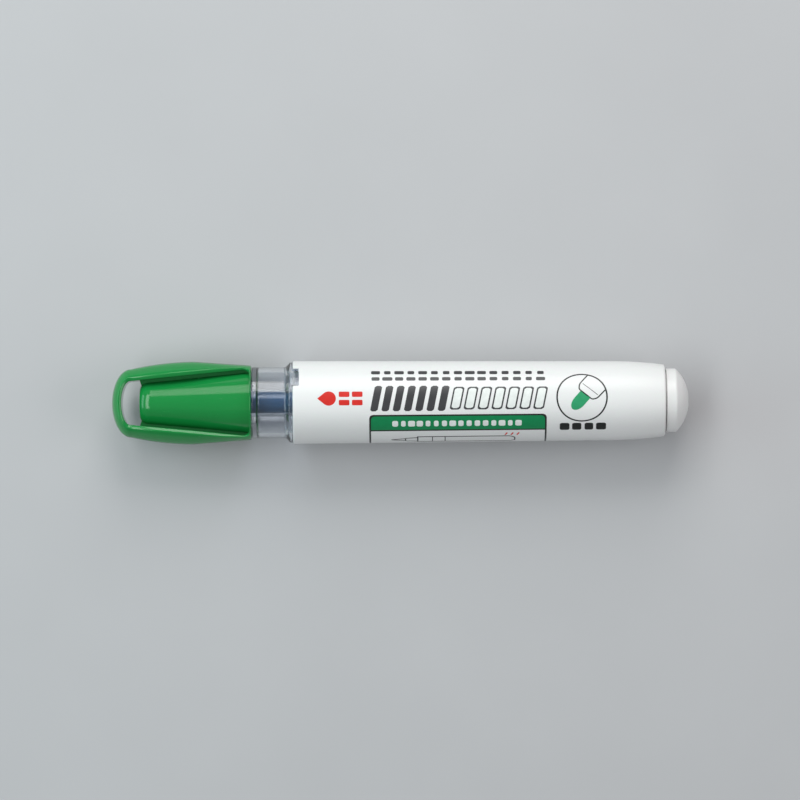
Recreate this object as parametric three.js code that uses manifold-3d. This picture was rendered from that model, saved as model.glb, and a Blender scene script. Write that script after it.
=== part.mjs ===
// A whiteboard marker lying on its side: a green push-on cap with a finger loop, a clear section that
// shows the ink, a white barrel and a white tail plug, with the ink feed and the fibre reservoir inside.
// Millimetres. +X runs from the cap to the tail and +Z is up. The origin is on the surface that the
// marker lies on, under the middle of its length.
import * as THREE from "three";
import { mergeVertices } from "three/addons/utils/BufferGeometryUtils.js";
import Module from "manifold-3d";

// ---- Driving sizes ---------------------------------------------------------------------------
const sides = 32; // flats round every turned piece, with one flat straight down
const fitGap = 0.12; // radial clearance between pieces that fit in each other
const faceGap = 0.15; // clearance between pieces that meet end to end
const edge = 0.25; // small chamfers
const overcut = 1; // how far a cutter runs past what it cuts

const bodyRadius = 9.9; // the barrel at its front face, and the cap at its widest
const capLength = 33.2; // tip of the loop to the mouth
const windowLength = 8.0; // clear section in sight between the cap and the flange
const flangeLength = 1.65;
const barrelLength = 88.25;
const tailHeadLength = 5.3;
const tailSeam = 0.3; // groove between the barrel's end and the tail head

// Cap
const capWall = 1.1;
const capNoseDepth = 4.5; // length of the rounded nose of the loop
const capWidestStation = 19.7;
const capFlattening = 0.78; // height over width in front of the rear taper
const capRoundingFront = 22; // where the cap starts to turn round towards its mouth
const capFlare = 0.45; // how far the cap stands outside the clear section at its mouth
const capRearDip = 0.5; // how far the flank falls soon after its widest
const mouthStep = 1.15; // clear section's radius less the cone's radius at the mouth
const mouthEdge = 0.4; // chamfer on the mouth's rim
const mouthRing = 0.4; // length of the ring that closes the openings' corners
const coneFrontRadius = 4.95; // the cone where its rounded front ends
const coneFaceDepth = 0.5; // how far the cone's blunt face bulges
const coneRounding = 1.9; // length of the rounding behind the face
const coneFaceWall = 2.2;
const loopBar = 2.35; // thickness of the loop across the tip
const loopSideBar = 2.95; // thickness of the loop beside the tip
const loopHole = 4.05; // gap between the loop and the cone, along the axis
const trenchWidth = 0.65; // gap between the cone and the side wings
const cornerLength = 1.6; // rounding of the openings' corners at the mouth
const cornerInset = 1.5;
const webThickness = 1.2; // plate between the cone and the side wings
const gripLength = 5.2; // the cap's hold on the clear holder

// Liner inside the cap
const linerWall = 0.6;
const linerEnd = 0.8;
const nibRoom = 0.9; // free length in front of the nib

// Nib and its collar
const nibRadius = 2.1;
const nibPointLength = 4.4;
const nibExposed = 5.0; // nib in front of its collar
const collarWall = 0.5; // the collar's tail, in the holder's nose
const collarTipWall = 0.8;
const collarFlange = 0.95;
const collarNeck = 0.9; // how far the flange stands outside the collar's cone
const collarTail = 5.0;

// Clear holder
const noseLength = 5.0; // in front of the grip
const windowStep = 1.4; // barrel's radius less the clear section's
const windowWall = 1.15;
const flangeStep = 0.3; // barrel's radius less the flange's
const flangeSlope = 0.95; // length of the flange's cone
const skirtWall = 1.15;
const skirtLength = 12;
const keyWidth = 5;
const keyLength = 1.35;
const keyRoot = 0.5; // how far the key runs into the flange
const keyAngle = THREE.MathUtils.degToRad(38); // from straight up, towards +Y

// Ink feed
const coreRadius = 2.5;
const tubeWall = 0.7;
const tubeSocket = 4.6; // how deep the tube sits in the holder, in front of the clear section
const tubeInReservoir = 3.2;
const coreInReservoir = 9.0;

// Reservoir
const filmThickness = 0.2;
const reservoirSetback = 3.8; // flange to the reservoir's front
const reservoirEdge = 0.6;

// Barrel
const barrelWall = 1.3;
const barrelDraft = 0.45; // radius lost along the barrel
const shoulderLength = 13.4; // rounded stretch at the rear
const shoulderDrop = 0.9;
const barrelRearWall = 1.6;
const barrelRearEdge = 0.45;
const barrelFrontEdge = 0.3;
const neckLength = 3.9; // narrow bore that holds the tail plug
const neckRamp = 3;
const ribCount = 6;
const ribThickness = 0.8;
const ribSetback = 1; // from the skirt and from the neck's ramp

// Tail plug
const tailLip = 0.63; // how far the tail head stands outside the barrel's rear bore
const tailRim = 2.6; // length of the tail head's cylinder
const tailFaceRadius = 2.5;
const tailFaceWall = 1.6;
const stemLength = 9.2;
const stemWall = 1.1;
const stemBead = 0.07;
const stemBeadLength = 1;

// ---- Stations along the axis, from the tip of the cap ------------------------------------------
const capMouth = capLength;
const windowFront = capMouth + faceGap;
const flangeFront = windowFront + windowLength;
const flangeRear = flangeFront + flangeLength;
const skirtRear = flangeRear + skirtLength;
const barrelFront = flangeRear + faceGap;
const barrelRear = barrelFront + barrelLength;
const tailFront = barrelRear + tailSeam;
const tailEnd = tailFront + tailHeadLength;

const coneTip = loopBar + loopHole;
const coneStart = coneTip + coneFaceDepth + coneRounding;
const gripFront = capMouth - gripLength;
const cavityFront = coneTip + coneFaceWall;
const linerFront = cavityFront + faceGap;
const linerRear = gripFront - faceGap;
const nibTip = linerFront + linerEnd + nibRoom;
const collarFront = nibTip + nibExposed;
const seatFront = gripFront + 2 * faceGap;
const noseFront = seatFront - noseLength;
const tubeFront = windowFront - tubeSocket;
const reservoirFront = flangeRear + reservoirSetback;
const stemFront = tailFront - stemLength;
const reservoirRear = stemFront - faceGap;

// ---- Radii that follow from each other ---------------------------------------------------------
const axisHeight = bodyRadius * Math.cos(Math.PI / sides);
const windowRadius = bodyRadius - windowStep;
const flangeRadius = bodyRadius - flangeStep;
const coneMouthRadius = windowRadius - mouthStep;
const gripRadius = coneMouthRadius - capWall;
const seatRadius = gripRadius - fitGap;
const barrelBore = bodyRadius - barrelWall;
const skirtRadius = barrelBore - fitGap;
const skirtBore = skirtRadius - skirtWall;
const windowBore = Math.min(windowRadius - windowWall, skirtBore);
const nibBore = nibRadius + fitGap;
const collarTailRadius = nibBore + collarWall;
const collarTipRadius = nibBore + collarTipWall;
const noseBore = collarTailRadius + fitGap;
const tubeBore = coreRadius + fitGap;
const tubeRadius = tubeBore + tubeWall;
const tubeSeat = tubeRadius + fitGap;
const filmRadius = windowBore - fitGap;
const reservoirRadius = filmRadius - filmThickness - fitGap;
const shoulderRadius = bodyRadius - barrelDraft;
const barrelRearRadius = shoulderRadius - shoulderDrop;
const tailBore = barrelRearRadius - barrelRearWall;
const tailHeadRadius = tailBore + tailLip;
const stemRadius = tailBore - fitGap;
const stemBore = stemRadius - stemWall;

const coneRadiusAt = (station) =>
  THREE.MathUtils.mapLinear(station, coneStart, capMouth, coneFrontRadius, coneMouthRadius);
const cavityRadiusAt = (station) => coneRadiusAt(station) - capWall;
const linerRadiusAt = (station) => cavityRadiusAt(station) - fitGap;
const linerBoreAt = (station) => linerRadiusAt(station) - linerWall;
const openingHalfWidthAt = (station) => coneRadiusAt(station) + trenchWidth;
const noseRadius = linerBoreAt(noseFront) - fitGap;

// ---- Shape helpers -----------------------------------------------------------------------------
const wasm = await Module();
wasm.setup();

// A solid of revolution about the marker's axis, from [station, radius] corners.
function turned(corners) {
  const profile = corners.map(([station, radius]) => new THREE.Vector2(radius, station));
  return new THREE.LatheGeometry(profile, sides, Math.PI / sides).rotateZ(-Math.PI / 2);
}

// A ring-shaped solid of revolution, whose outline closes on itself.
const turnedRing = (corners) => turned([...corners, corners[0]]);

const tube = (front, rear, inner, outer) =>
  turnedRing([[front, inner], [front, outer], [rear, outer], [rear, inner]]);

// Points on a curve through [station, radius] corners, without the first: a quadratic Bezier.
function bend(from, through, to, steps) {
  const [a, b, c] = [from, through, to].map(([station, radius]) => new THREE.Vector2(station, radius));
  return new THREE.QuadraticBezierCurve(a, b, c)
    .getPoints(steps)
    .slice(1)
    .map((point) => [point.x, point.y]);
}

// Points on a quarter of an ellipse that rises from the axis, without the first.
const roundNose = (tip, depth, radius, steps) =>
  new THREE.EllipseCurve(tip + depth, 0, depth, radius, Math.PI, Math.PI / 2, true)
    .getPoints(steps)
    .slice(1)
    .map((point) => [point.x, point.y]);

// A block that stands on the axis at an angle from straight up, reaching from one radius to another.
const radialBlock = (front, rear, width, inner, outer, angle) =>
  new THREE.BoxGeometry(rear - front, width, outer - inner)
    .translate((front + rear) / 2, 0, (inner + outer) / 2)
    .rotateX(-angle);

function toSolid(geometry) {
  const bare = geometry.clone();
  bare.deleteAttribute("normal");
  bare.deleteAttribute("uv");
  const merged = mergeVertices(bare);
  return new wasm.Manifold(
    new wasm.Mesh({
      numProp: 3,
      vertProperties: merged.attributes.position.array,
      triVerts: Uint32Array.from(merged.index.array),
    }),
  );
}

function toGeometry(solid) {
  const { vertProperties, triVerts } = solid.getMesh();
  const geometry = new THREE.BufferGeometry();
  geometry.setAttribute("position", new THREE.BufferAttribute(vertProperties, 3));
  geometry.setIndex(new THREE.BufferAttribute(triVerts, 1));
  geometry.computeVertexNormals();
  return geometry;
}

// ---- Cap ---------------------------------------------------------------------------------------
// The cap's outer form before its openings are cut: a rounded nose and a barrel-shaped flank.
function capForm() {
  const loopRadius = openingHalfWidthAt(capNoseDepth) + loopSideBar;
  const rimRadius = windowRadius + capFlare;
  const rimFront = capMouth - mouthEdge;
  const noseEnd = [capNoseDepth, loopRadius];
  const widest = [capWidestStation, bodyRadius];
  const round = turned([
    [0, 0],
    ...roundNose(0, capNoseDepth, loopRadius, 7),
    ...bend(noseEnd, [(capNoseDepth + capWidestStation) / 2, bodyRadius], widest, 6),
    ...bend(
      widest,
      [(capWidestStation + rimFront) / 2, bodyRadius - capRearDip],
      [rimFront, rimRadius],
      5,
    ),
    [capMouth, rimRadius - mouthEdge],
    [capMouth, 0],
  ]);
  return flattened(round, rimFront);
}

// Lowers a turned form towards the axis plane, less and less from the widest place to its mouth.
function flattened(geometry, mouth) {
  const points = geometry.attributes.position;
  for (let i = 0; i < points.count; i += 1) {
    const share = THREE.MathUtils.smoothstep(points.getX(i), capRoundingFront, mouth);
    points.setZ(i, points.getZ(i) * THREE.MathUtils.lerp(capFlattening, 1, share));
  }
  return geometry;
}

// Cutter for the openings above and below the cone: a tapered slot with a round front end and
// rounded corners, which runs out through the mouth.
function capOpening() {
  const frontWidth = openingHalfWidthAt(capNoseDepth);
  const cornerRear = capMouth - mouthRing;
  const cornerFront = cornerRear - cornerLength;
  const rearWidth = openingHalfWidthAt(cornerFront);
  const mouthWidth = rearWidth - cornerInset;
  const quarter = Math.PI / 2;
  const outline = new THREE.Shape();
  outline.moveTo(capMouth + overcut, -mouthWidth);
  outline.lineTo(capMouth + overcut, mouthWidth);
  outline.absellipse(cornerFront, mouthWidth, cornerLength, cornerInset, 0, quarter);
  outline.absellipse(
    capNoseDepth, 0, capNoseDepth - loopBar, frontWidth, quarter, 3 * quarter,
  );
  outline.absellipse(cornerFront, -mouthWidth, cornerLength, cornerInset, 3 * quarter, 4 * quarter);
  const depth = 2 * (bodyRadius + overcut);
  return new THREE.ExtrudeGeometry(outline, { depth, bevelEnabled: false, curveSegments: 10 })
    .translate(0, 0, -depth / 2);
}

// The cone that covers the nib, solid, with a blunt face and a rounded front.
function capCone() {
  const faceStation = coneTip + coneFaceDepth;
  const faceEdge = [faceStation, coneFrontRadius - coneRounding / 2];
  return turned([
    [coneTip, 0],
    faceEdge,
    ...bend(faceEdge, [faceStation, coneFrontRadius], [coneStart, coneFrontRadius], 5),
    [capMouth - mouthEdge, coneRadiusAt(capMouth - mouthEdge)],
    [capMouth, coneMouthRadius - mouthEdge],
    [capMouth, 0],
  ]);
}

// Cutter for the inside of the cap: the grip at the mouth, and the tapered seat of the liner.
const capHollow = () =>
  turned([
    [cavityFront, 0],
    [cavityFront, cavityRadiusAt(cavityFront)],
    [gripFront, cavityRadiusAt(gripFront)],
    [gripFront, gripRadius],
    [capMouth + overcut, gripRadius],
    [capMouth + overcut, 0],
  ]);

function capShell() {
  const form = toSolid(capForm());
  const webFront = coneTip + coneFaceDepth;
  const webLength = capMouth - mouthRing - webFront;
  const web = new THREE.BoxGeometry(webLength, 2 * bodyRadius, webThickness)
    .translate(webFront + webLength / 2, 0, 0);
  return toGeometry(
    form
      .subtract(toSolid(capOpening()))
      .add(toSolid(capCone()))
      .add(toSolid(web).intersect(form))
      .subtract(toSolid(capHollow())),
  );
}

function capLiner() {
  const boreFront = linerFront + linerEnd;
  return turned([
    [linerFront, 0],
    [linerFront, linerRadiusAt(linerFront) - edge],
    [linerFront + edge, linerRadiusAt(linerFront + edge)],
    [linerRear, linerRadiusAt(linerRear)],
    [linerRear, linerBoreAt(linerRear) + edge],
    [linerRear - edge, linerBoreAt(linerRear - edge)],
    [boreFront, linerBoreAt(boreFront)],
    [boreFront, 0],
  ]);
}

// ---- Nib and holder ----------------------------------------------------------------------------
function nib() {
  const rear = tubeFront - faceGap;
  return turned([
    [nibTip, 0],
    ...roundNose(nibTip, nibPointLength, nibRadius, 7),
    [rear, nibRadius],
    [rear, 0],
  ]);
}

function nibCollar() {
  const flangeBack = noseFront - faceGap;
  const flangeFace = flangeBack - collarFlange;
  const flangeOuter = linerBoreAt(flangeFace) - fitGap;
  const rear = noseFront + collarTail;
  return turnedRing([
    [collarFront, nibBore],
    [collarFront, collarTipRadius - edge],
    [collarFront + edge, collarTipRadius],
    [flangeFace, Math.max(collarTipRadius, flangeOuter - collarNeck)],
    [flangeFace, flangeOuter],
    [flangeBack, flangeOuter],
    [flangeBack, collarTailRadius],
    [rear, collarTailRadius],
    [rear, nibBore],
  ]);
}

function clearHolder() {
  const socketEnd = tubeFront - faceGap;
  const hollowFront = windowFront + windowWall;
  const body = turnedRing([
    [noseFront, noseBore],
    [noseFront, noseRadius - edge],
    [noseFront + edge, noseRadius],
    [seatFront, noseRadius],
    [seatFront, seatRadius - edge],
    [seatFront + edge, seatRadius],
    [windowFront, seatRadius],
    [windowFront, windowRadius - edge],
    [windowFront + edge, windowRadius],
    [flangeFront, windowRadius],
    [flangeFront + flangeSlope, flangeRadius],
    [flangeRear, flangeRadius],
    [flangeRear, skirtRadius],
    [skirtRear - edge, skirtRadius],
    [skirtRear, skirtRadius - edge],
    [skirtRear, windowBore],
    [hollowFront, windowBore],
    [hollowFront, tubeSeat],
    [socketEnd, tubeSeat],
    [socketEnd, noseBore],
  ]);
  const keyFront = flangeRear - keyRoot;
  const keyRear = flangeRear + keyLength;
  const keyBlock = radialBlock(
    keyFront, keyRear, keyWidth, (windowBore + skirtRadius) / 2, bodyRadius, keyAngle,
  );
  const keyBand = tube(keyFront, keyRear, windowBore, bodyRadius - fitGap);
  return toGeometry(toSolid(body).add(toSolid(keyBlock).intersect(toSolid(keyBand))));
}

// ---- Ink feed and reservoir --------------------------------------------------------------------
const sensorTube = () => tube(tubeFront, reservoirFront + tubeInReservoir, tubeBore, tubeRadius);

function sensorCore() {
  const rear = reservoirFront + coreInReservoir;
  return turned([
    [tubeFront, 0],
    [tubeFront, coreRadius - edge],
    [tubeFront + edge, coreRadius],
    [rear - edge, coreRadius],
    [rear, coreRadius - edge],
    [rear, 0],
  ]);
}

function reservoir() {
  const tubeEnd = reservoirFront + tubeInReservoir + faceGap;
  const coreEnd = reservoirFront + coreInReservoir + faceGap;
  return turned([
    [coreEnd, 0],
    [coreEnd, tubeBore],
    [tubeEnd, tubeBore],
    [tubeEnd, tubeSeat],
    [reservoirFront, tubeSeat],
    [reservoirFront, reservoirRadius - reservoirEdge],
    [reservoirFront + reservoirEdge, reservoirRadius],
    [reservoirRear - reservoirEdge, reservoirRadius],
    [reservoirRear, reservoirRadius - reservoirEdge],
    [reservoirRear, 0],
  ]);
}

const reservoirFilm = () =>
  tube(
    reservoirFront + reservoirEdge,
    reservoirRear - reservoirEdge,
    filmRadius - filmThickness,
    filmRadius,
  );

// ---- Barrel and tail ---------------------------------------------------------------------------
function barrel() {
  const shoulderFront = [barrelRear - shoulderLength, shoulderRadius];
  const shoulderRear = [barrelRear - barrelRearEdge, barrelRearRadius];
  const shoulderMiddle = [(shoulderFront[0] + shoulderRear[0]) / 2, shoulderRadius];
  const neckFront = barrelRear - neckLength;
  const boreRear = neckFront - neckRamp;
  const rearBore = shoulderRadius - barrelWall;
  const tubeBody = turnedRing([
    [barrelFront, barrelBore],
    [barrelFront, bodyRadius - barrelFrontEdge],
    [barrelFront + barrelFrontEdge, bodyRadius],
    shoulderFront,
    ...bend(shoulderFront, shoulderMiddle, shoulderRear, 6),
    [barrelRear, barrelRearRadius - barrelRearEdge],
    [barrelRear, tailBore],
    [neckFront, tailBore],
    [boreRear, rearBore],
    [skirtRear + ribSetback, barrelBore],
  ]);
  let made = toSolid(tubeBody);
  for (let i = 0; i < ribCount; i += 1) {
    const rib = radialBlock(
      skirtRear + ribSetback,
      boreRear - ribSetback,
      ribThickness,
      filmRadius + fitGap,
      rearBore + barrelWall / 2,
      ((i + 0.5) * 2 * Math.PI) / ribCount,
    );
    made = made.add(toSolid(rib));
  }
  const notch = radialBlock(
    barrelFront - overcut,
    flangeRear + keyLength + faceGap,
    keyWidth + 2 * fitGap,
    skirtBore,
    bodyRadius + overcut,
    keyAngle,
  );
  return toGeometry(made.subtract(toSolid(notch)));
}

function tailPlug() {
  const rimRear = tailFront + tailRim;
  const beadMiddle = barrelRear - neckLength / 2;
  return turned([
    [tailEnd - tailFaceWall, 0],
    [tailEnd - tailFaceWall, tailFaceRadius],
    [rimRear - 2 * edge, stemBore],
    [stemFront, stemBore],
    [stemFront, stemRadius - edge],
    [stemFront + edge, stemRadius],
    [beadMiddle - stemBeadLength / 2, stemRadius],
    [beadMiddle, stemRadius + stemBead],
    [beadMiddle + stemBeadLength / 2, stemRadius],
    [tailFront, stemRadius],
    [tailFront, tailHeadRadius - edge],
    [tailFront + edge, tailHeadRadius],
    [rimRear - edge, tailHeadRadius],
    [rimRear, tailHeadRadius - edge],
    [tailEnd - edge, tailFaceRadius + edge],
    [tailEnd, tailFaceRadius],
    [tailEnd, 0],
  ]);
}

// ---- Assembly ----------------------------------------------------------------------------------
const material = (color, roughness, opacity = 1) =>
  new THREE.MeshStandardMaterial({
    color,
    roughness,
    metalness: 0,
    opacity,
    transparent: opacity < 1,
  });
const green = material(0x12833c, 0.25);
const white = material(0xf2f2f0, 0.35);
const natural = material(0xe4e6e4, 0.5);
const clear = material(0xd8e0e6, 0.1, 0.35);
const feltGreen = material(0x0b6b34, 0.95);
const feedSlate = material(0x3d5268, 0.8);
const fibre = material(0x1c7a45, 0.95);
const film = material(0xe8efe9, 0.2, 0.4);

const marker = new THREE.Group();
marker.position.set(-tailEnd / 2, 0, axisHeight);

function addPiece(name, geometry, surface) {
  const mesh = new THREE.Mesh(geometry, surface);
  mesh.name = name;
  marker.add(mesh);
}

addPiece("cap_shell", capShell(), green);
addPiece("cap_liner", capLiner(), natural);
addPiece("nib", nib(), feltGreen);
addPiece("nib_collar", nibCollar(), white);
addPiece("clear_holder", clearHolder(), clear);
addPiece("sensor_tube", sensorTube(), clear);
addPiece("sensor_core", sensorCore(), feedSlate);
addPiece("reservoir", reservoir(), fibre);
addPiece("reservoir_film", reservoirFilm(), film);
addPiece("barrel", barrel(), white);
addPiece("tail_plug", tailPlug(), white);

export default marker;
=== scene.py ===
"""A whiteboard marker lying on a pale surface: the look of each piece, built round its CAD frame.

Lengths inside a piece's own outline are in millimetres, measured from the front of that piece,
because that is how such a drawing is read. They are turned into metres where the mesh is made.
"""

import math

import bmesh
import bpy
from bpy.props import FloatProperty, FloatVectorProperty, IntProperty, PointerProperty
from mathutils import Matrix, Quaternion, Vector


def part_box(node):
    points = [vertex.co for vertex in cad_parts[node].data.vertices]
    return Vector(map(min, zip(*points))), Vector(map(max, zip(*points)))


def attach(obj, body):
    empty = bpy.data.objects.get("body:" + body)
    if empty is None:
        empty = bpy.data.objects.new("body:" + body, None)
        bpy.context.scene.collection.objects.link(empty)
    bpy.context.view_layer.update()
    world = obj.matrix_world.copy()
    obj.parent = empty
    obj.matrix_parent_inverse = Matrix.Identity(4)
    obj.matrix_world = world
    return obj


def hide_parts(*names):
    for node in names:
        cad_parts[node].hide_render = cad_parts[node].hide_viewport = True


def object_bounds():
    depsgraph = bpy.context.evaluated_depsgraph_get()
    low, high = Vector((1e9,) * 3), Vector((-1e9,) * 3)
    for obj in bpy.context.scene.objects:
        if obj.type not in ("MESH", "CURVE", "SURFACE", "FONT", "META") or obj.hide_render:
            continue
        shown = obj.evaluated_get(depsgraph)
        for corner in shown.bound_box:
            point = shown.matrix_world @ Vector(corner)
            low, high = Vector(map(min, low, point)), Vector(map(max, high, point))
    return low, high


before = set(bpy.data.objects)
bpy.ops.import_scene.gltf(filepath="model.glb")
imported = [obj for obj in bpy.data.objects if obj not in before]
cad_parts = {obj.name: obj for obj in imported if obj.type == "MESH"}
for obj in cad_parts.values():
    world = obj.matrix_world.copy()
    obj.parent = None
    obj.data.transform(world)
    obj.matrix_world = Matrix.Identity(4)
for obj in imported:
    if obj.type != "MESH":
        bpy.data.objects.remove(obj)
cad_low, cad_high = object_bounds()

bl_info = {
    "name": "Whiteboard Marker",
    "version": (1, 0, 0),
    "blender": (4, 5, 0),
    "location": "3D View > Sidebar > Marker",
    "description": "Builds the visible pieces of a whiteboard marker round its CAD frame",
    "category": "Object",
}

MM = 0.001
AXIS_HEIGHT = (cad_low.z + cad_high.z) / 2
BODY_RADIUS = (cad_high.z - cad_low.z) / 2
MARKER, LINER, CAP = "marker_body", "cap_inner", "cap_outer"
SMOOTH_ANGLE = math.radians(32)


def front_of(node):
    """Where a CAD node starts along the marker, in metres."""
    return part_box(node)[0].x


def length_of(node):
    """How long a CAD node is along the marker, in millimetres."""
    low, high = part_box(node)
    return (high.x - low.x) / MM


# ---- Sizes and colours that a user would change ----


def length(name, description, default):
    return FloatProperty(name=name, description=description, default=default, unit="LENGTH")


def angle(name, description, degrees):
    default = math.radians(degrees)
    return FloatProperty(name=name, description=description, default=default, subtype="ANGLE")


def colour(name, description, default):
    return FloatVectorProperty(
        name=name, description=description, default=default, subtype="COLOR"
    )


class MarkerSizes(bpy.types.PropertyGroup):
    body_radius: length("Body radius", "Of the barrel's front and the cap's widest", BODY_RADIUS)
    barrel_draft: length("Barrel draft", "Radius lost from front to shoulder", 0.45 * MM)
    window_step: length("Clear section step", "How far it lies below the barrel", 1.4 * MM)
    rim_rounding: length("Cap rim rounding", "Of the rim along the two openings", 0.85 * MM)
    print_lift: length("Print thickness", "How far the ink stands on the barrel", 0.02 * MM)
    turned_sides: IntProperty(
        name="Sides", description="Faces round each turned piece", default=144, min=24
    )


class MarkerColours(bpy.types.PropertyGroup):
    cap: colour("Cap green", "Moulded colour of the cap", (0.008, 0.242, 0.049))
    barrel: colour("Barrel white", "Of the barrel, collar and tail plug", (0.80, 0.80, 0.79))
    natural: colour("Liner", "Moulded colour of the cap's liner", (0.62, 0.66, 0.62))
    feed: colour("Feed slate", "Ink feed behind the clear section", (0.025, 0.078, 0.146))
    felt: colour("Nib green", "Colour of the inked nib and reservoir", (0.006, 0.115, 0.042))
    ink_grey: colour("Print grey", "Dark grey printing ink", (0.045, 0.045, 0.048))
    ink_green: colour("Print green", "Green printing ink", (0.0, 0.23, 0.075))
    ink_red: colour("Print red", "Red printing ink", (0.66, 0.02, 0.012))


class StudioLook(bpy.types.PropertyGroup):
    distance: length("Camera distance", "From the camera to the marker", 1.3)
    field: length("Field width", "Width of the view at the marker", 0.1903)
    lean: angle("Camera lean", "How far the camera leans from straight down", 1.5)
    roll: angle("Camera roll", "Turn of the camera about its line of sight", -0.34)
    key_power: FloatProperty(
        name="Softbox power", description="Power of the square softbox", default=1.8, unit="POWER"
    )


# ---- Node graphs written as Python ----


class Num:
    """A number that comes out of a node, so that Python's operators add Math nodes."""

    def __init__(self, graph, socket):
        self.graph = graph
        self.socket = socket

    def maths(self, operation, *others):
        """A Math node on this number and any others."""
        return self.graph.maths(operation, self, *others)

    def __add__(self, other):
        return self.maths("ADD", other)

    __radd__ = __add__

    def __sub__(self, other):
        return self.maths("SUBTRACT", other)

    def __rsub__(self, other):
        return self.graph.maths("SUBTRACT", other, self)

    def __mul__(self, other):
        return self.maths("MULTIPLY", other)

    __rmul__ = __mul__

    def __truediv__(self, other):
        return self.maths("DIVIDE", other)


class Graph:
    """Adds nodes to one node tree."""

    def __init__(self, tree):
        self.tree = tree

    def add(self, kind, settings=None, inputs=None):
        """One node: its settings are set first, then the values or links of its sockets."""
        node = self.tree.nodes.new(kind)
        for name, value in (settings or {}).items():
            setattr(node, name, value)
        for name, value in (inputs or {}).items():
            value = value.socket if isinstance(value, Num) else value
            if isinstance(value, bpy.types.NodeSocket):
                self.tree.links.new(value, node.inputs[name])
            else:
                node.inputs[name].default_value = value
        return node

    def out(self, kind, settings=None, inputs=None, output=0):
        """An output of a new node, its first one unless another is named."""
        return self.add(kind, settings, inputs).outputs[output]

    def num(self, *node):
        """The same as out, for an output that is a number."""
        return Num(self, self.out(*node))

    def maths(self, operation, *values):
        return self.num("ShaderNodeMath", {"operation": operation}, dict(enumerate(values)))

    def split(self, vector):
        """The X, Y and Z of a vector socket."""
        parts = self.add("ShaderNodeSeparateXYZ", {}, {0: vector}).outputs
        return [Num(self, part) for part in parts]

    def join(self, x, y, z):
        return self.out("ShaderNodeCombineXYZ", {}, {"X": x, "Y": y, "Z": z})


# ---- Materials ----

# A Mix node has sockets of each kind under the same names, so those for colours go by number.
MIX_FACTOR, MIX_FIRST, MIX_SECOND, MIX_RESULT = 0, 6, 7, 2


class Surface(Graph):
    """One procedural material, with the helpers that its recipes share."""

    def __init__(self, name):
        self.material = bpy.data.materials.new(name)
        self.material.use_nodes = True
        super().__init__(self.material.node_tree)
        self.tree.nodes.clear()
        self.place = self.out("ShaderNodeTexCoord", output="Object")

    def noise(self, size, detail=2.0, stretch=(1, 1, 1)):
        """Noise with features about size metres across, longer along an axis where stretch is."""
        scale = [1 / (size * factor) for factor in stretch]
        placed = self.out("ShaderNodeMapping", {}, {"Vector": self.place, "Scale": scale})
        inputs = {"Vector": placed, "Scale": 1.0, "Detail": detail, "Roughness": 0.55}
        return self.num("ShaderNodeTexNoise", {"noise_dimensions": "3D"}, inputs)

    def above(self, value, edge, softness):
        """0 below edge and 1 above edge + softness, with a ramp between."""
        inputs = {"Value": value, "From Min": edge, "From Max": edge + softness}
        return self.num("ShaderNodeMapRange", {"clamp": True}, inputs)

    def blend_colour(self, factor, first, second):
        inputs = {MIX_FACTOR: factor, MIX_FIRST: opaque(first), MIX_SECOND: opaque(second)}
        return self.out("ShaderNodeMix", {"data_type": "RGBA"}, inputs, MIX_RESULT)

    def bump(self, height, depth, strength=1.0):
        inputs = {"Strength": strength, "Distance": depth, "Height": height}
        return self.out("ShaderNodeBump", {}, inputs)

    def principled(self, inputs):
        return self.out("ShaderNodeBsdfPrincipled", {}, inputs)

    def finish(self, shader):
        self.add("ShaderNodeOutputMaterial", {}, {"Surface": shader})
        return self.material


def opaque(tone):
    """A plain colour with full alpha, or a socket as it is."""
    return tone if isinstance(tone, bpy.types.NodeSocket) else (*tone[:3], 1.0)


def shade(tone, factor):
    return [min(1.0, channel * factor) for channel in tone[:3]]


def moulded_plastic(name, tone, roughness, mottle, glow):
    """Moulded plastic: faint flow clouds, a fine orange peel and a few hairline scuffs."""
    s = Surface(name)
    clouds = s.noise(7 * MM, 3.0, stretch=(2.5, 1, 1))
    peel = s.noise(0.35 * MM)
    hairs = s.noise(0.12 * MM, 1.0, stretch=(40, 1, 1))
    patches = s.noise(5 * MM)
    scuffs = s.above(hairs, 0.66, 0.05) * s.above(patches, 0.55, 0.1)
    base = s.blend_colour(clouds, shade(tone, 1 - mottle), shade(tone, 1 + mottle))
    shader = s.principled({
        "Base Color": s.blend_colour(scuffs * 0.25, base, shade(tone, 1.35)),
        "Roughness": (peel - 0.5) * 0.06 + clouds * 0.05 + scuffs * 0.2 + roughness,
        "IOR": 1.49,
        "Subsurface Weight": glow,
        "Subsurface Radius": (0.6, 1.0, 0.7),
        "Subsurface Scale": 0.9 * MM,
        "Normal": s.bump(peel + scuffs * 0.3, 0.006 * MM),
    })
    return s.finish(shader)


def clear_plastic(name, tint, roughness):
    """Clear moulded plastic that bends what is seen through it and lets lamps in."""
    s = Surface(name)
    flow = s.noise(3 * MM, stretch=(3, 1, 1))
    glass = s.principled({
        "Base Color": opaque(tint),
        "Roughness": flow * 0.03 + roughness,
        "IOR": 1.47,
        "Transmission Weight": 1.0,
        "Normal": s.bump(flow, 0.02 * MM, 0.4),
    })
    light = s.out("ShaderNodeBsdfTransparent", {}, {"Color": opaque(tint)})
    to_lamp = s.out("ShaderNodeLightPath", output="Is Shadow Ray")
    return s.finish(s.out("ShaderNodeMixShader", {}, {0: to_lamp, 1: glass, 2: light}))


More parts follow.
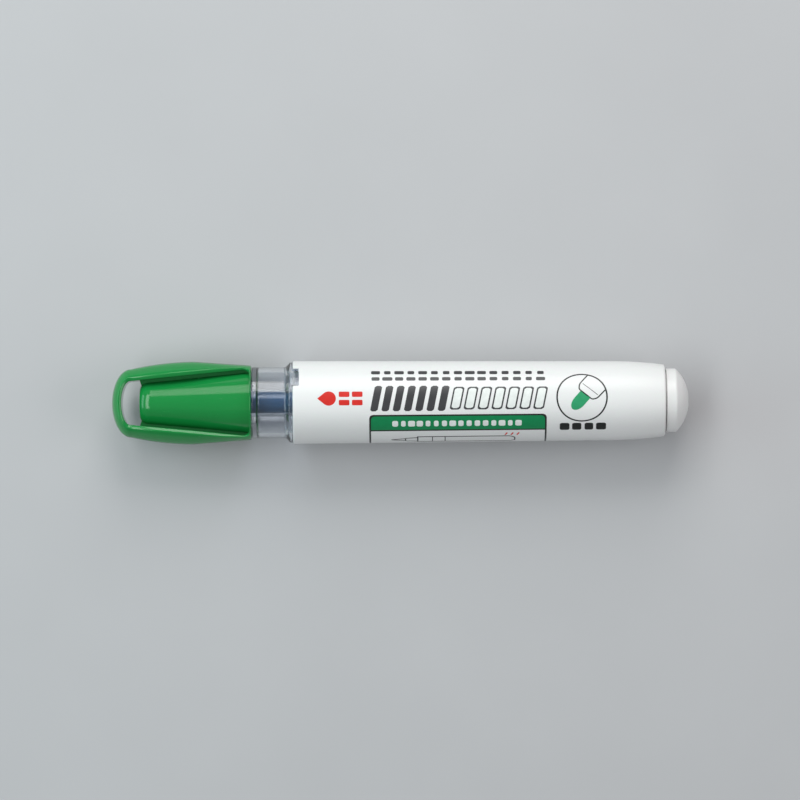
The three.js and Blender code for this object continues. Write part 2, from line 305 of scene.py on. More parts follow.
def inked_fibre(name, tone, strand, along):
    """Bonded fibre soaked in ink: strands along the marker, with pale and dark ones among them."""
    s = Surface(name)
    strands = s.noise(strand, 3.0, stretch=(along, 1, 1))
    damp = s.noise(2.5 * MM)
    base = s.blend_colour(strands, shade(tone, 0.55), shade(tone, 1.9))
    shader = s.principled({
        "Base Color": s.blend_colour(s.above(damp, 0.5, 0.2) * 0.4, base, shade(tone, 0.5)),
        "Roughness": 0.95 - damp * 0.3,
        "Sheen Weight": 0.25,
        "Normal": s.bump(strands, 0.06 * MM),
    })
    return s.finish(shader)


def printing_ink(name, tone):
    """A thin film of printing ink, a little uneven and a little broken at the grain's peaks."""
    s = Surface(name)
    lay = s.noise(1.2 * MM, 3.0)
    grain = s.noise(0.08 * MM, 1.0)
    base = s.blend_colour(lay, shade(tone, 0.86), shade(tone, 1.16))
    shader = s.principled({
        "Base Color": s.blend_colour(s.above(grain, 0.7, 0.05) * 0.3, base, shade(tone, 2.2)),
        "Roughness": lay * 0.12 + 0.3,
        "Normal": s.bump(grain, 0.003 * MM),
    })
    return s.finish(shader)


def floor_paper(name):
    """Matt pale paper with faint clouds."""
    s = Surface(name)
    fibres = s.noise(1.5 * MM, 4.0)
    base = s.blend_colour(s.noise(60 * MM, 3.0), (0.46, 0.46, 0.47), (0.51, 0.51, 0.52))
    normal = s.bump(fibres, 0.02 * MM, 0.3)
    return s.finish(s.principled({"Base Color": base, "Roughness": 0.8, "Normal": normal}))


FINISHES = {
    "cap green": lambda name, c: moulded_plastic(name, c.cap, 0.09, 0.06, 0.12),
    "barrel white": lambda name, c: moulded_plastic(name, c.barrel, 0.34, 0.015, 0.08),
    "natural liner": lambda name, c: moulded_plastic(name, c.natural, 0.45, 0.04, 0.3),
    "clear plastic": lambda name, c: clear_plastic(name, (0.84, 0.865, 0.90), 0.04),
    "clear film": lambda name, c: clear_plastic(name, (0.95, 0.98, 0.96), 0.12),
    "inked felt": lambda name, c: inked_fibre(name, c.felt, 0.12 * MM, 5),
    "inked reservoir": lambda name, c: inked_fibre(name, c.felt, 0.2 * MM, 30),
    "inked feed": lambda name, c: inked_fibre(name, c.feed, 0.15 * MM, 30),
    "grey ink": lambda name, c: printing_ink(name, c.ink_grey),
    "green ink": lambda name, c: printing_ink(name, c.ink_green),
    "red ink": lambda name, c: printing_ink(name, c.ink_red),
    "bright green ink": lambda name, c: printing_ink(name, (0.024, 0.32, 0.135)),
    "white ink": lambda name, c: printing_ink(name, (0.80, 0.83, 0.80)),
    "black ink": lambda name, c: printing_ink(name, (0.012, 0.014, 0.013)),
    "pale floor": lambda name, c: floor_paper(name),
}


def finish_named(name):
    """One of the finishes above, made when it is first asked for."""
    made = bpy.data.materials.get(name)
    return made or FINISHES[name](name, bpy.context.scene.marker_colours)


# ---- Mesh helpers ----

MERGE_WITHIN = 0.5e-6
SHORTEST_EDGE = 0.2e-6


def new_object(name, bm, material=None):
    """A mesh object at the origin, in metres, from a bmesh that is then freed."""
    mesh = bpy.data.meshes.new(name)
    bm.to_mesh(mesh)
    bm.free()
    made = bpy.data.objects.new(name, mesh)
    bpy.context.scene.collection.objects.link(made)
    if material:
        mesh.materials.append(material)
    return made


def apply_modifiers(made):
    """Turns the object's evaluated result into its own plain mesh."""
    depsgraph = bpy.context.evaluated_depsgraph_get()
    mesh = bpy.data.meshes.new_from_object(made.evaluated_get(depsgraph))
    made.modifiers.clear()
    old = made.data
    made.data = mesh
    bpy.data.meshes.remove(old)
    mesh.name = made.name


def paint(made, material):
    """Leaves the piece with this one material all over."""
    made.data.materials.clear()
    made.data.materials.append(material)


def tidy_shell(made):
    """Closes seams, turns faces outwards and smooths all but the real edges."""
    bm = bmesh.new()
    bm.from_mesh(made.data)
    bmesh.ops.remove_doubles(bm, verts=bm.verts, dist=MERGE_WITHIN)
    bmesh.ops.dissolve_degenerate(bm, edges=bm.edges, dist=SHORTEST_EDGE)
    bmesh.ops.recalc_face_normals(bm, faces=bm.faces)
    bm.to_mesh(made.data)
    bm.free()
    made.data.shade_smooth()
    made.data.set_sharp_from_angle(angle=SMOOTH_ANGLE)


def combine(made, others, operation):
    """Joins other closed shells to the object, or cuts them away, and removes them."""
    material = made.data.materials[0]
    for other in others:
        cut = made.modifiers.new(operation, "BOOLEAN")
        cut.operation = operation
        cut.solver = "EXACT"
        cut.object = other
    apply_modifiers(made)
    paint(made, material)
    for other in others:
        bpy.data.objects.remove(other)


def settle(made, body, nodes=()):
    """Gives a finished piece its body and hides the CAD nodes that it stands for."""
    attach(made, body)
    if nodes:
        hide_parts(*nodes)


def bezier(start, control, end, t):
    return start * (1 - t) ** 2 + control * 2 * t * (1 - t) + end * t**2


def rounded(corners, steps=5, closed=False):
    """Points of an outline whose [along, out, rounding] corners are cut by short curves."""
    points = []
    count = len(corners)
    for i, (along, out, rounding) in enumerate(corners):
        here = Vector((along, out))
        is_end = not closed and i in (0, count - 1)
        if is_end or not rounding:
            points.append(here)
            continue
        before = Vector(corners[i - 1][:2]) - here
        after = Vector(corners[(i + 1) % count][:2]) - here
        start = here + before.normalized() * min(rounding, 0.48 * before.length)
        end = here + after.normalized() * min(rounding, 0.48 * after.length)
        points += [bezier(start, here, end, step / steps) for step in range(steps + 1)]
    return points


def bow(start, control, end, steps):
    """Corners along a gentle curve, without its first point."""
    ends = [Vector(point) for point in (start, control, end)]
    return [(*bezier(*ends, step / steps), 0) for step in range(1, steps + 1)]


# ---- Geometry Nodes ----


def new_tree(name, whole_numbers, numbers):
    """The graph of a tree that takes a mesh, these numbers and a surface, and its inputs."""
    tree = bpy.data.node_groups.new(name, "GeometryNodeTree")
    tree.interface.new_socket("Mesh", in_out="OUTPUT", socket_type="NodeSocketGeometry")
    kinds = {"Mesh": "Geometry", "Surface": "Material"}
    kinds |= dict.fromkeys(whole_numbers, "Int") | dict.fromkeys(numbers, "Float")
    for label, kind in kinds.items():
        tree.interface.new_socket(label, in_out="INPUT", socket_type=f"NodeSocket{kind}")
    graph = Graph(tree)
    given = dict(graph.add("NodeGroupInput").outputs.items())
    for label in (*whole_numbers, *numbers):
        given[label] = Num(graph, given[label])
    return graph, given


def end_tree(graph, mesh, surface):
    real = graph.out("GeometryNodeRealizeInstances", {}, {"Geometry": mesh})
    inputs = {"Geometry": real, "Material": surface}
    graph.add("NodeGroupOutput", {}, {"Mesh": graph.out("GeometryNodeSetMaterial", {}, inputs)})
    return graph.tree


def run_tree(made, make_tree, material, values):
    """Runs a tree on the object with the named values, and keeps the result as a plain mesh.

    The tree is made once, under the name of its function, and used by all that need it.
    """
    tree = bpy.data.node_groups.get(make_tree.__name__) or make_tree(make_tree.__name__)
    values = {"Surface": material, "Axis Height": AXIS_HEIGHT, **values}
    nodes = made.modifiers.new(tree.name, "NODES")
    nodes.node_group = tree
    for item in tree.interface.items_tree:
        if item.item_type == "SOCKET" and item.in_out == "INPUT" and item.name in values:
            nodes[item.identifier] = values[item.name]
    apply_modifiers(made)
    paint(made, material)


def moved_to(g, mesh, position):
    return g.out("GeometryNodeSetPosition", {}, {"Geometry": mesh, "Position": position})


def merged(g, mesh, distance):
    return g.out("GeometryNodeMergeByDistance", {}, {"Geometry": mesh, "Distance": distance})


def about_axis(g, given, along, radius, turn):
    """The point at a station, a radius and an angle from straight up, round the marker's axis."""
    height = radius * turn.maths("COSINE") + given["Axis Height"]
    return g.join(along, radius * turn.maths("SINE"), height)


def turning_tree(name):
    """A profile, given as a chain of points, turned round the marker's axis."""
    g, given = new_tree(name, ["Sides"], ["Axis Height"])
    profile = {"Geometry": given["Mesh"]}
    component = {"component": "MESH"}
    count = g.num("GeometryNodeAttributeDomainSize", component, profile, "Point Count")
    sizes = {"Size X": 1.0, "Size Y": 1.0, "Vertices X": count, "Vertices Y": given["Sides"] + 1}
    grid = g.out("GeometryNodeMeshGrid", {}, sizes)
    place = g.out("GeometryNodeInputPosition")
    across, around, _ = g.split(place)
    index = ((across + 0.5) * (count - 1)).maths("ROUND")
    corner = g.out(
        "GeometryNodeSampleIndex",
        {"data_type": "FLOAT_VECTOR", "domain": "POINT"},
        {**profile, "Value": place, "Index": index},
    )
    along, _, radius = g.split(corner)
    surface_point = about_axis(g, given, along, radius, (around + 0.5) * math.tau)
    return end_tree(g, merged(g, moved_to(g, grid, surface_point), 1e-6), given["Surface"])


def rib_tree(name):
    """Straight ribs set at equal angles round the marker's axis."""
    numbers = ["Front", "Length", "Width", "Inner Radius", "Depth", "Axis Height"]
    g, given = new_tree(name, ["Count"], numbers)
    size = g.join(given["Length"], given["Width"], given["Depth"])
    bar = g.out("GeometryNodeMeshCube", {}, {"Size": size})
    middle = g.join(
        given["Front"] + given["Length"] / 2, 0.0, given["Inner Radius"] + given["Depth"] / 2
    )
    lifted = g.out("GeometryNodeTransform", {}, {"Geometry": bar, "Translation": middle})
    points = g.out("GeometryNodePoints", {}, {"Count": given["Count"]})
    turn = g.join(g.num("GeometryNodeInputIndex") * math.tau / given["Count"], 0.0, 0.0)
    inputs = {"Points": points, "Instance": lifted, "Rotation": turn}
    spread = g.out("GeometryNodeInstanceOnPoints", {}, inputs)
    inputs = {"Geometry": spread, "Translation": g.join(0.0, 0.0, given["Axis Height"])}
    return end_tree(g, g.out("GeometryNodeTransform", {}, inputs), given["Surface"])


def wrapping_tree(name):
    """Flat print, drawn as station, arc and height, wrapped round the drafted barrel."""
    g, given = new_tree(name, [], ["Front", "Front Radius", "Draft", "Axis Height"])
    along, arc, height = g.split(g.out("GeometryNodeInputPosition"))
    radius = given["Front Radius"] - (along - given["Front"]) * given["Draft"] + height
    wrapped = about_axis(g, given, along, radius, arc / given["Front Radius"])
    return end_tree(g, moved_to(g, given["Mesh"], wrapped), given["Surface"])


def dash_tree(name):
    """A row of flat dashes with rounded corners and seeded widths, as closed thin blocks."""
    numbers = ["Start", "Pitch", "Middle", "Height", "Corner", "Slant", "Least Width",
               "Most Width", "Inset", "Lift"]
    g, given = new_tree(name, ["Count", "Seed"], numbers)
    pitch, corner, lift = given["Pitch"], given["Corner"], given["Lift"]
    inputs = {
        "Count": given["Count"],
        "Start Location": g.join(given["Start"] + pitch / 2, 0.0, 0.0),
        "Offset": g.join(pitch, 0.0, 0.0),
    }
    line = g.out("GeometryNodeMeshLine", {}, inputs)
    # A Random Value node names its sockets alike for each kind, so those for a float go by number.
    least, most, drawn = 2, 3, 1
    inputs = {least: given["Least Width"], most: given["Most Width"], "Seed": given["Seed"]}
    random = g.num("FunctionNodeRandomValue", {"data_type": "FLOAT"}, inputs, drawn)
    width = random - given["Inset"] * 2
    height = given["Height"] - given["Inset"] * 2
    inputs = {"Size X": 1.0, "Size Y": 1.0, "Vertices X": 4, "Vertices Y": 19}
    unit = g.out("GeometryNodeMeshGrid", {}, inputs)
    inputs = {"Points": line, "Instance": unit, "Scale": g.join(width, height, 1.0)}
    bars = g.out("GeometryNodeInstanceOnPoints", {}, inputs)
    centre, _, _ = g.split(g.out("GeometryNodeInputPosition"))
    for label, value in (("centre", centre), ("half_width", width / 2)):
        bars = g.out(
            "GeometryNodeStoreNamedAttribute",
            {"data_type": "FLOAT", "domain": "INSTANCE"},
            {"Geometry": bars, "Name": label, "Value": value},
        )
    real = g.out("GeometryNodeRealizeInstances", {}, {"Geometry": bars})
    x, y, _ = g.split(g.out("GeometryNodeInputPosition"))
    centre, half_width = [
        g.num("GeometryNodeInputNamedAttribute", {"data_type": "FLOAT"}, {"Name": label})
        for label in ("centre", "half_width")
    ]
    over = (y.maths("ABSOLUTE") - (height / 2 - corner)).maths("MAXIMUM", 0.0)
    short = (corner * corner - over * over).maths("MAXIMUM", 0.0).maths("SQRT")
    narrow = (half_width - corner + short) / half_width
    shifted = centre + (x - centre) * narrow + y * given["Slant"]
    flat = moved_to(g, real, g.join(shifted, y + given["Middle"], 0.0 - lift))
    inputs = {"Mesh": flat, "Offset": g.join(0.0, 0.0, lift * 2), "Individual": False}
    thick = g.out("GeometryNodeExtrudeMesh", {"mode": "FACES"}, inputs)
    under = g.out("GeometryNodeFlipFaces", {}, {"Mesh": flat})
    both = g.add("GeometryNodeJoinGeometry")
    for part in (under, thick):
        g.tree.links.new(part, both.inputs[0])
    return end_tree(g, merged(g, both.outputs[0], 1e-7), given["Surface"])


def turned(name, corners, front, material, closed=False):
    """A turned piece. Its corners are [distance from front, radius, rounding] in millimetres."""
    points = rounded(corners, closed=closed)
    if closed:
        points.append(points[0])
    bm = bmesh.new()
    for along, out in points:
        bm.verts.new((front + along * MM, 0.0, max(out, 0.0) * MM))
    made = new_object(name, bm)
    sides = bpy.context.scene.marker_sizes.turned_sides
    run_tree(made, turning_tree, material, {"Sides": sides})
    tidy_shell(made)
    return made


def ribs_about(count, front, long, width, inner, depth, material):
    """Ribs round the axis, with their front in metres and their sizes in millimetres."""
    made = new_object("ribs", bmesh.new(), material)
    run_tree(made, rib_tree, material, {
        "Count": count,
        "Front": front,
        "Length": long * MM,
        "Width": width * MM,
        "Inner Radius": inner * MM,
        "Depth": depth * MM,
    })
    return made


# ---- Cap ----

FIT = 0.12
CAP_LENGTH = length_of("cap_shell")
CAP_WALL = 1.1
NOSE_DEPTH = 4.5
WIDEST = 19.7
REAR_DIP = 0.5
RIM_DROP = 0.95
MOUTH_EDGE = 0.4
RIM_FRONT = CAP_LENGTH - MOUTH_EDGE
RING_BORE = 6.7
CONE_TIP = 6.4
CONE_START = 8.8
CONE_FRONT_RADIUS = 4.95
CONE_MOUTH_STEP = 1.15
CAVITY_FRONT = 8.6
GRIP_FRONT = 28.0
GRIP_RADIUS = 6.25
TRENCH = 0.65
CORNER_FRONT = RIM_FRONT - 1.6
CORNER_WIDTH = 6.28
LOOP_BAR = 2.35
LOOP_RADIUS = 8.13
FLATNESS = 0.78
ROUNDING_FRONT = 22.0
WEB_HALF = 0.6
LINER_WALL = 0.6
LINER_END = 0.8


def body_mm():
    return bpy.context.scene.marker_sizes.body_radius / MM


def cone_radius(station):
    """Outside radius of the cone that covers the nib."""
    mouth = body_mm() - bpy.context.scene.marker_sizes.window_step / MM - CONE_MOUTH_STEP
    share = (station - CONE_START) / (CAP_LENGTH - CONE_START)
    return CONE_FRONT_RADIUS + (mouth - CONE_FRONT_RADIUS) * share


def opening_half_width(station):
    return cone_radius(station) + TRENCH


def cap_radius(station):
    """Outside radius of the cap: a round nose, a swelling flank and a drawn-in mouth."""
    body = body_mm()
    rim = body - RIM_DROP
    if station <= NOSE_DEPTH:
        short = (NOSE_DEPTH - station) / NOSE_DEPTH
        return LOOP_RADIUS * math.sqrt(max(0.0, 1 - short * short))
    if station <= WIDEST:
        return bezier(LOOP_RADIUS, body, body, (station - NOSE_DEPTH) / (WIDEST - NOSE_DEPTH))
    if station <= RIM_FRONT:
        return bezier(body, body - REAR_DIP, rim, (station - WIDEST) / (RIM_FRONT - WIDEST))
    over = min(station - RIM_FRONT, MOUTH_EDGE)
    return rim - MOUTH_EDGE + math.sqrt(MOUTH_EDGE**2 - over**2)


def band_sections():
    """Pairs of [station, width] points: the opening's edge and the silhouette beside it."""
    corner_steps, side_steps, nose_steps = 10, 32, 72
    side = [(RIM_FRONT + 0.2, CORNER_WIDTH)]
    height = opening_half_width(CORNER_FRONT) - CORNER_WIDTH
    for step in range(corner_steps + 1):
        turn = math.radians(90 * step / corner_steps)
        side.append((
            CORNER_FRONT + (RIM_FRONT - CORNER_FRONT) * math.cos(turn),
            CORNER_WIDTH + height * math.sin(turn),
        ))
    for step in range(1, side_steps + 1):
        station = CORNER_FRONT + (NOSE_DEPTH - CORNER_FRONT) * step / side_steps
        side.append((station, opening_half_width(station)))
    pairs = [((station, width), (station, cap_radius(station))) for station, width in side]
    mirrored = [tuple((station, -width) for station, width in pair) for pair in reversed(pairs)]
    nose_width = opening_half_width(NOSE_DEPTH)
    for step in range(1, nose_steps):
        turn = math.radians(90 - 180 * step / nose_steps)
        across, ahead = math.sin(turn), math.cos(turn)
        pairs.append((
            (NOSE_DEPTH - (NOSE_DEPTH - LOOP_BAR) * ahead, nose_width * across),
            (NOSE_DEPTH - NOSE_DEPTH * ahead, LOOP_RADIUS * across),
        ))
    return pairs + mirrored


def band_height(station, width, sunk):
    """Height of the band's surface over the axis: flattened, but round at the mouth."""
    t = min(1.0, max(0.0, (station - ROUNDING_FRONT) / (RIM_FRONT - ROUNDING_FRONT)))
    flat = FLATNESS + (1 - FLATNESS) * t * t * (3 - 2 * t)
    return flat * math.sqrt(max(0.0, (cap_radius(station) - sunk) ** 2 - width**2))


def band_loop(inner, outer, rounding):
    """One closed section of the band: up the inner wall, over the rim, down to the silhouette."""
    inner, outer = Vector(inner), Vector(outer)
    width = (outer - inner).length
    flank_steps = 13
    # The band's ends lie just under the mouth's ring, so that the two surfaces never coincide.
    sunk = 0.03 if inner.x > RIM_FRONT + 0.01 else 0.0

    def surface(share):
        return band_height(*inner.lerp(outer, share), sunk)

    land = min(rounding, 0.42 * width)
    crest = surface(land / width)
    beyond = min(1.0, 1.8 * land / width)
    lip = crest - 0.42 * land
    rim = [(0, lip - 0.5, 0), (0, lip, 0.22), (land, crest, 0.25),
           (beyond * width, surface(beyond), 0)]
    profile = [(across / width, height) for across, height in rounded(rim, 4)]
    for step in range(1, flank_steps + 1):
        share = 1 - (1 - step / flank_steps) ** 2 * (1 - beyond)
        profile.append((share, surface(share)))
    upper = [Vector((*inner.lerp(outer, share), height)) for share, height in profile]
    upper[-1].z = 0.0
    lower = [Vector((p.x, p.y, -p.z)) for p in reversed(upper[:-1])]
    return upper + lower


def lofted(name, loops, material):
    """A closed piece through loops of points, in millimetres from the cap's front and axis."""
    bm = bmesh.new()
    front = front_of("cap_shell")
    rings = [
        [bm.verts.new((front + x * MM, y * MM, AXIS_HEIGHT + z * MM)) for x, y, z in loop]
        for loop in loops
    ]
    for here, after in zip(rings, rings[1:]):
        for i in range(len(here)):
            j = (i + 1) % len(here)
            bm.faces.new((here[i], here[j], after[j], after[i]))
    bm.faces.new(rings[0])
    bm.faces.new(reversed(rings[-1]))
    bmesh.ops.recalc_face_normals(bm, faces=bm.faces)
    return new_object(name, bm, material)


def cap_web(side, material):
    """The thin web that holds one wing to the cone, half way up."""
    rear = RIM_FRONT + 0.1
    plan = [
        (CONE_TIP + 0.8, 3.6),
        (CONE_TIP + 0.1, opening_half_width(CONE_TIP) + 0.5),
        (rear, opening_half_width(rear) + 0.4),
        (rear, cone_radius(rear) - 0.5),
    ]
    loops = [[(x, y * side, z) for x, y in plan] for z in (-WEB_HALF, WEB_HALF)]
    return lofted("web", loops, material)


class MARKER_OT_cap_shell(bpy.types.Operator):
    """Make the green cap: a looped band of two wings joined by webs to the cone over the nib"""

    bl_idname = "marker.cap_shell"
    bl_label = "Cap Shell"

    def execute(self, context):
        green = finish_named("cap green")
        front = front_of("cap_shell")
        face_edge, face_rear = (CONE_TIP + 0.25, 3.3), CONE_TIP + 3.4
        face = bow(face_edge, (CONE_TIP + 0.4, 5.0), (face_rear, cone_radius(face_rear)), 14)
        cone = turned(
            "cap_shell_green",
            [
                (CONE_TIP, 0, 0), (CONE_TIP + 0.06, 1.6, 0.6), (*face_edge, 0), *face,
                (CAP_LENGTH, cone_radius(CAP_LENGTH), 0.25), (CAP_LENGTH, GRIP_RADIUS, 0.25),
                (GRIP_FRONT, GRIP_RADIUS, 0), (GRIP_FRONT, cone_radius(GRIP_FRONT) - CAP_WALL, 0.1),
                (CAVITY_FRONT, cone_radius(CAVITY_FRONT) - CAP_WALL, 0.4), (CAVITY_FRONT, 0, 0),
            ],
            front,
            green,
        )
        rim = [RIM_FRONT + MOUTH_EDGE * step / 5 for step in range(6)]
        ring_corners = [
            (RIM_FRONT, RING_BORE, 0), *[(station, cap_radius(station), 0) for station in rim],
            (CAP_LENGTH, RING_BORE, 0),
        ]
        ring = turned("ring", ring_corners, front, green, closed=True)
        webs = [cap_web(side, green) for side in (1, -1)]
        rounding = context.scene.marker_sizes.rim_rounding / MM
        loops = [band_loop(inner, outer, rounding) for inner, outer in band_sections()]
        combine(cone, [lofted("band", loops, green), *webs, ring], "UNION")
        tidy_shell(cone)
        settle(cone, CAP, ["cap_shell"])
        return {"FINISHED"}


class MARKER_OT_cap_liner(bpy.types.Operator):
    """Make the natural plastic liner that seals round the nib inside the cap"""

    bl_idname = "marker.cap_liner"
    bl_label = "Cap Liner"

    def execute(self, context):
        long = length_of("cap_liner")
        start = (front_of("cap_liner") - front_of("cap_shell")) / MM
        outer = [cone_radius(start + at) - CAP_WALL - FIT for at in (0, long)]
        bore = [cone_radius(start + at) - CAP_WALL - FIT - LINER_WALL for at in (LINER_END, long)]
        liner = turned(
            "cap_liner_natural",
            [
                (0, 0, 0), (0, outer[0], 0.3), (long, outer[1], 0.2), (long, bore[1], 0.2),
                (LINER_END, bore[0], 0.5), (LINER_END, 0, 0),
            ],
            front_of("cap_liner"),
            finish_named("natural liner"),
        )
        settle(liner, LINER, ["cap_liner"])
        return {"FINISHED"}


# ---- Nib, clear section and ink feed ----

NIB_RADIUS = 2.1
COLLAR_TAIL = 5.0
COLLAR_TAIL_RADIUS = 2.72
COLLAR_FLANGE = 0.95
CORE_RADIUS = 2.5
TUBE_RADIUS = 3.32
FILM_BORE = 7.01
FILM_RADIUS = 7.21
NOSE_RADIUS = 4.43
NOSE_LENGTH = 5.0
SEAT_RADIUS = GRIP_RADIUS - FIT
SEAT_REAR = 10.05
WINDOW_REAR = 18.05
FLANGE_FRONT = 19.0
FLANGE_REAR = 19.7
FLANGE_STEP = 0.3
SKIRT_RADIUS = 8.48
SKIRT_REAR = 31.7
SKIRT_FLOOR = 11.2
COLLAR_FLOOR = 5.3
KEY_ANGLE = math.radians(38)
KEY_WIDTH = 5.0
KEY_FRONT = 19.2
KEY_REAR = 21.05


class MARKER_OT_nib(bpy.types.Operator):
    """Make the bullet nib of pressed felt and the ribbed collar that holds it"""

    bl_idname = "marker.nib"
    bl_label = "Nib and Collar"

    def execute(self, context):
        long = length_of("nib")
        nib = turned(
            "nib_bullet",
            [(0, 0, 0), (0.03, 0.75, 0.3), *bow((0.25, 1.1), (2.2, 2.02), (4.4, NIB_RADIUS), 9),
             (long, NIB_RADIUS, 0.25), (long, 0, 0)],
            front_of("nib"),
            finish_named("inked felt"),
        )
        settle(nib, MARKER, ["nib"])
        white = finish_named("barrel white")
        front, long = front_of("nib_collar"), length_of("nib_collar")
        flange = long - COLLAR_TAIL
        bore = NIB_RADIUS + FIT
        low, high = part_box("nib_collar")
        widest = (high.y - low.y) / 2 / MM
        collar = turned(
            "nib_collar_white",
            [(0, bore, 0.1), (0, 3.0, 0.25), (flange - COLLAR_FLANGE, 3.15, 0.3),
             (flange - COLLAR_FLANGE, widest, 0.2), (flange, widest, 0.2),
             (flange, COLLAR_TAIL_RADIUS, 0.2), (long, COLLAR_TAIL_RADIUS, 0.15), (long, bore, 0.1)],
            front,
            white,
            closed=True,
        )
        ribs = ribs_about(8, front + 1.6 * MM, flange - 2.2, 0.45, 2.8, 0.62, white)
        combine(collar, [ribs], "UNION")
        tidy_shell(collar)
        settle(collar, MARKER, ["nib_collar"])
        return {"FINISHED"}


def radial_block(name, front, rear, width, inner, outer, material):
    """A block that stands out from the axis at the key's angle from straight up, towards +Y."""
    bm = bmesh.new()
    bmesh.ops.create_cube(bm, size=1.0)
    turn = Matrix.Rotation(-KEY_ANGLE, 4, "X")
    for vert in bm.verts:
        along = front if vert.co.x < 0 else rear
        out = inner if vert.co.z < 0 else outer
        placed = turn @ Vector((0, vert.co.y * width * MM, out * MM))
        vert.co = Vector((along, placed.y, placed.z + AXIS_HEIGHT))
    return new_object(name, bm, material)


def bead(start, radius, height):
    """Corners of a low ridge, 1 mm long, round a turned piece."""
    top = radius + height
    return [(start, radius, 0), (start + 0.3, top, 0.2), (start + 0.7, top, 0.2),
            (start + 1, radius, 0)]


class MARKER_OT_clear_holder(bpy.types.Operator):
    """Make the clear section: nose, cap seat, ink window, flange with its key, and skirt"""

    bl_idname = "marker.clear_holder"
    bl_label = "Clear Holder"

    def execute(self, context):
        body = body_mm()
        window = body - context.scene.marker_sizes.window_step / MM
        flange = body - FLANGE_STEP
        collar, tube, film = [r + FIT for r in (COLLAR_TAIL_RADIUS, TUBE_RADIUS, FILM_RADIUS)]
        clear = finish_named("clear plastic")
        front = front_of("clear_holder")
        holder = turned(
            "clear_holder_window",
            [
                (0, collar, 0.15), (0, NOSE_RADIUS, 0.3), *bead(1.9, NOSE_RADIUS, 0.17),
                (NOSE_LENGTH, NOSE_RADIUS, 0.15), (NOSE_LENGTH, SEAT_RADIUS, 0.3),
                *bead(6.5, SEAT_RADIUS, 0.06), (SEAT_REAR, SEAT_RADIUS, 0.15),
                (SEAT_REAR, window, 0.3), (WINDOW_REAR, window, 0.4), (FLANGE_FRONT, flange, 0.3),
                (FLANGE_REAR, flange, 0.15), (FLANGE_REAR, SKIRT_RADIUS, 0),
                (SKIRT_REAR, SKIRT_RADIUS, 0.3), (SKIRT_REAR, film, 0.15), (SKIRT_FLOOR, film, 0.6),
                (SKIRT_FLOOR, tube, 0.2), (COLLAR_FLOOR, tube, 0), (COLLAR_FLOOR, collar, 0),
            ],
            front,
            clear,
            closed=True,
        )
        key = radial_block(
            "key", front + KEY_FRONT * MM, front + KEY_REAR * MM, KEY_WIDTH, 7.9, body, clear
        )
        top = body - FIT
        outline = [(KEY_FRONT - 1, 7.5, 0), (KEY_FRONT - 1, top, 0), (KEY_REAR + 1, top, 0),
                   (KEY_REAR + 1, 7.5, 0)]
        combine(key, [turned("key band", outline, front, clear, closed=True)], "INTERSECT")
        combine(holder, [key], "UNION")
        tidy_shell(holder)
        settle(holder, MARKER, ["clear_holder"])
        return {"FINISHED"}


class MARKER_OT_ink_feed(bpy.types.Operator):
    """Make the clear sensor tube and the inked fibre core inside it"""

    bl_idname = "marker.ink_feed"
    bl_label = "Ink Feed"

    def execute(self, context):
        long, bore = length_of("sensor_tube"), CORE_RADIUS + FIT
        tube = turned(
            "sensor_tube_clear",
            [(0, bore, 0.1), (0, TUBE_RADIUS, 0.2), (long, TUBE_RADIUS, 0.2), (long, bore, 0.1)],
            front_of("sensor_tube"),
            finish_named("clear plastic"),
            closed=True,
        )
        settle(tube, MARKER, ["sensor_tube"])
        long = length_of("sensor_core")
        core = turned(
            "sensor_core_fibre",
            [(0, 0, 0), (0, CORE_RADIUS, 0.3), (long, CORE_RADIUS, 0.3), (long, 0, 0)],
            front_of("sensor_core"),
            finish_named("inked feed"),
        )
        settle(core, MARKER, ["sensor_core"])
        return {"FINISHED"}


class MARKER_OT_reservoir(bpy.types.Operator):
    """Make the fibre reservoir and the thin film wrapped round it"""

    bl_idname = "marker.reservoir"
    bl_label = "Reservoir and Film"

    def execute(self, context):
        long, radius = length_of("reservoir"), FILM_BORE - FIT
        core, tube = CORE_RADIUS + FIT, TUBE_RADIUS + FIT
        core_depth, tube_depth = 9.15, 3.35
        fibre = turned(
            "reservoir_fibre",
            [(core_depth, 0, 0), (core_depth, core, 0), (tube_depth, core, 0), (tube_depth, tube, 0),
             (0, tube, 0.3), (0, radius, 0.9), (long, radius, 0.9), (long, 0, 0)],
            front_of("reservoir"),
            finish_named("inked reservoir"),
        )
        settle(fibre, MARKER, ["reservoir"])
        long = length_of("reservoir_film")
        film = turned(
            "reservoir_film_clear",
            [(0, FILM_BORE, 0), (0, FILM_RADIUS, 0), (long, FILM_RADIUS, 0), (long, FILM_BORE, 0)],
            front_of("reservoir_film"),
            finish_named("clear film"),
            closed=True,
        )
        settle(film, MARKER, ["reservoir_film"])
        return {"FINISHED"}


# ---- Barrel and tail plug ----

SHOULDER_LENGTH = 13.4
SHOULDER_DROP = 0.9
BARREL_BORE = SKIRT_RADIUS + FIT
NECK_BORE = 6.95
NECK_LENGTH = 3.9
RIB_FRONT = 12.9
STEM_RADIUS = NECK_BORE - FIT
STEM_BORE = 5.73
TAIL_HEAD = 5.3
TAIL_RADIUS = 7.58
TAIL_WALL = 1.6


